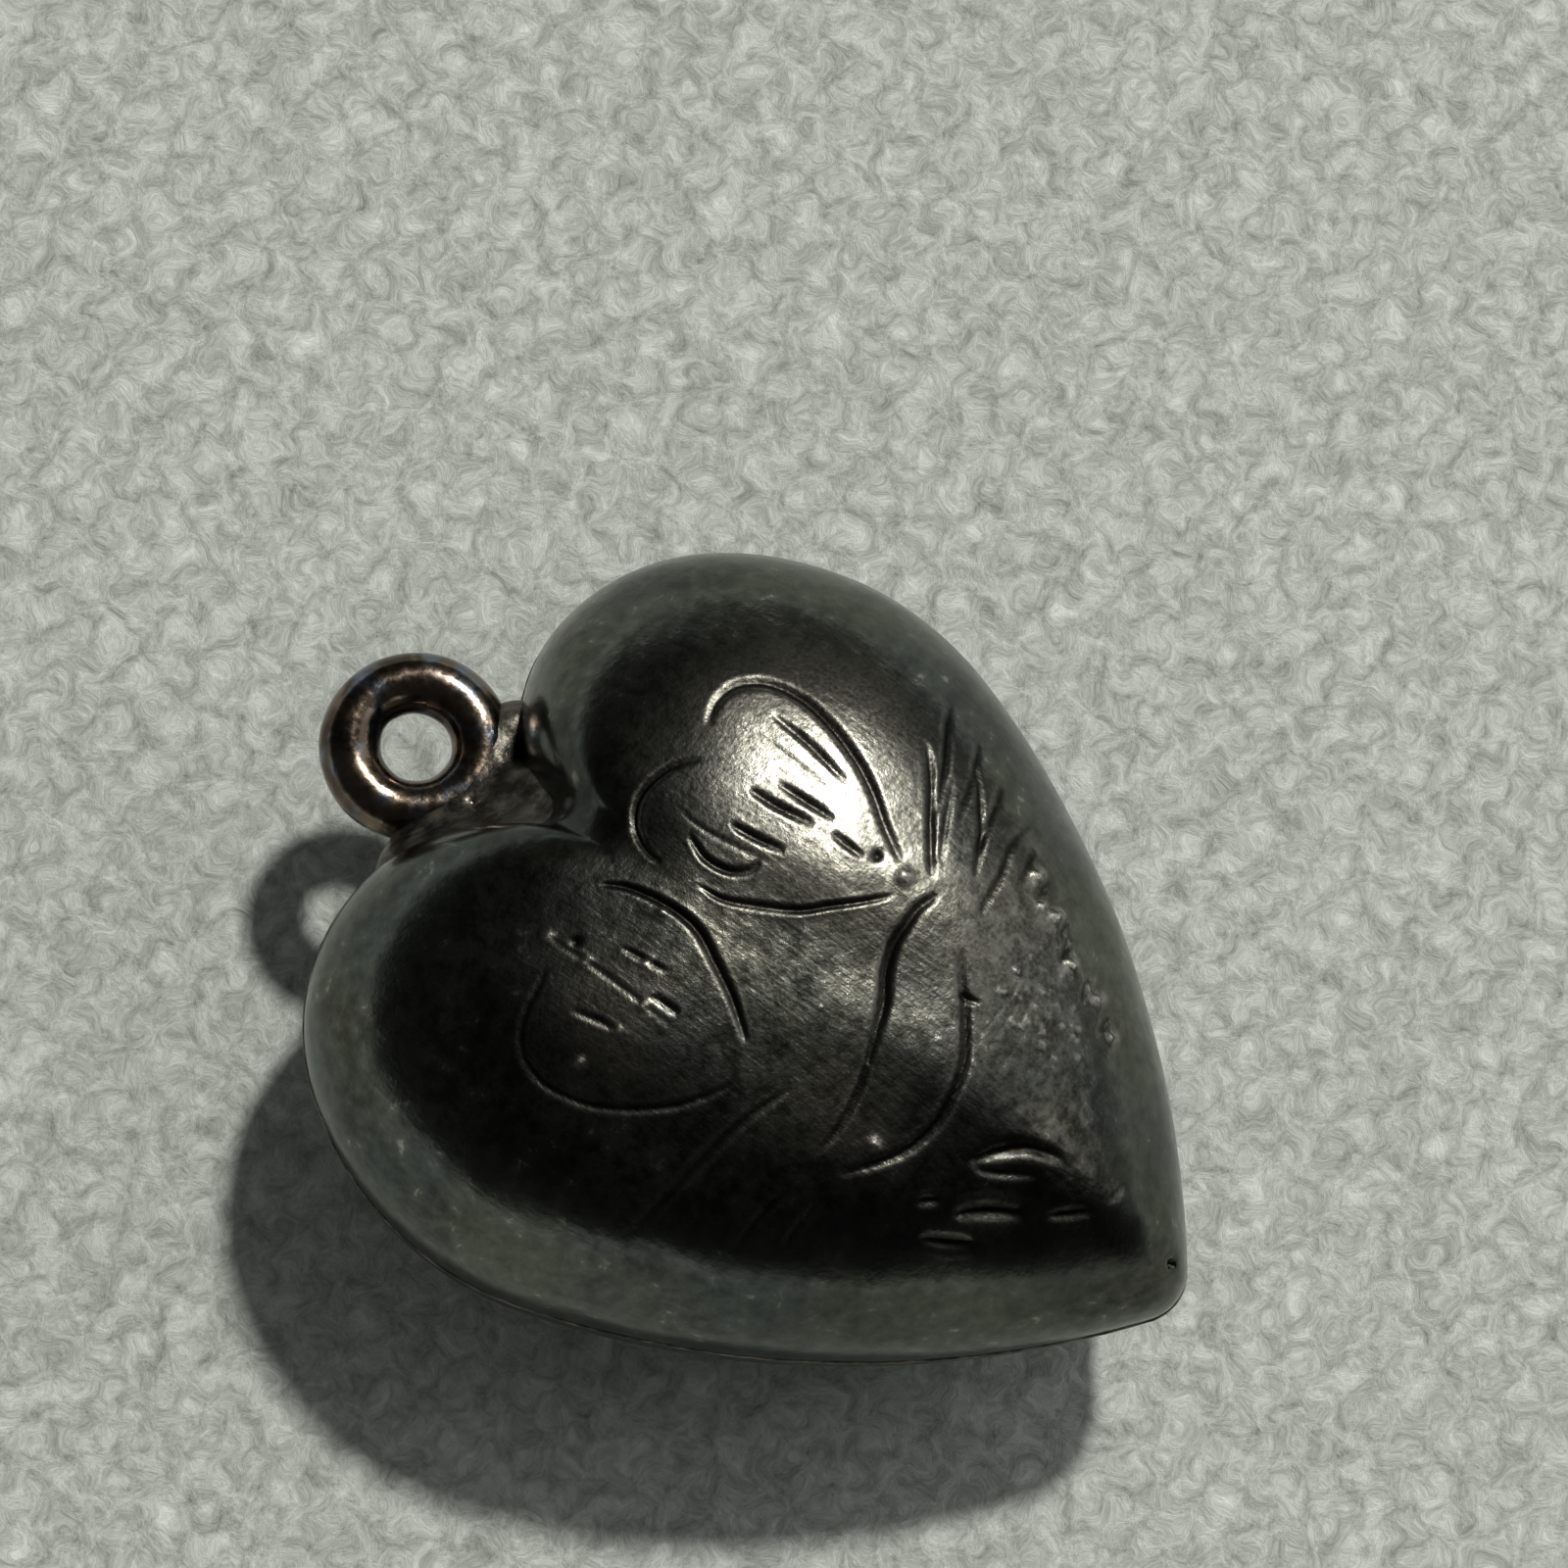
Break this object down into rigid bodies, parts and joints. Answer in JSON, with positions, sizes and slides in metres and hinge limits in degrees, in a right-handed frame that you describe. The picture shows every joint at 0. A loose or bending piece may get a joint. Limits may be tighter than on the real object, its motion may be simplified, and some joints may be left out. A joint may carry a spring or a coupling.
{
  "type": "puffed heart charm",
  "caption": "Hollow puffed heart charm of two soldered domed shells, with a fixed round-wire hanging ring in the cleft.",
  "frame": {"origin": "under the middle of the charm's box, on the surface that it lies on", "axes": "+Z out of the decorated front, +Y from the tip to the hanging ring, +X towards the lobe on the right as the front is looked at with the ring up"},
  "size_m": [0.0128, 0.0161, 0.0071],
  "materials": {
    "oxidised_silver": "die-struck sterling silver, darkened by oxidation and rubbed bright on the high places",
    "silver_solder": "silver solder, flowed and slightly lumpy, dull grey",
    "ring_wire": "drawn silver wire, smooth and worn, with a warm brown tarnish"
  },
  "bodies": {
    "root": {"front_shell": "oxidised_silver", "back_shell": "oxidised_silver", "seam_solder": "silver_solder", "hanging_ring": "ring_wire", "ring_solder": "silver_solder"}
  },
  "joints": []
}
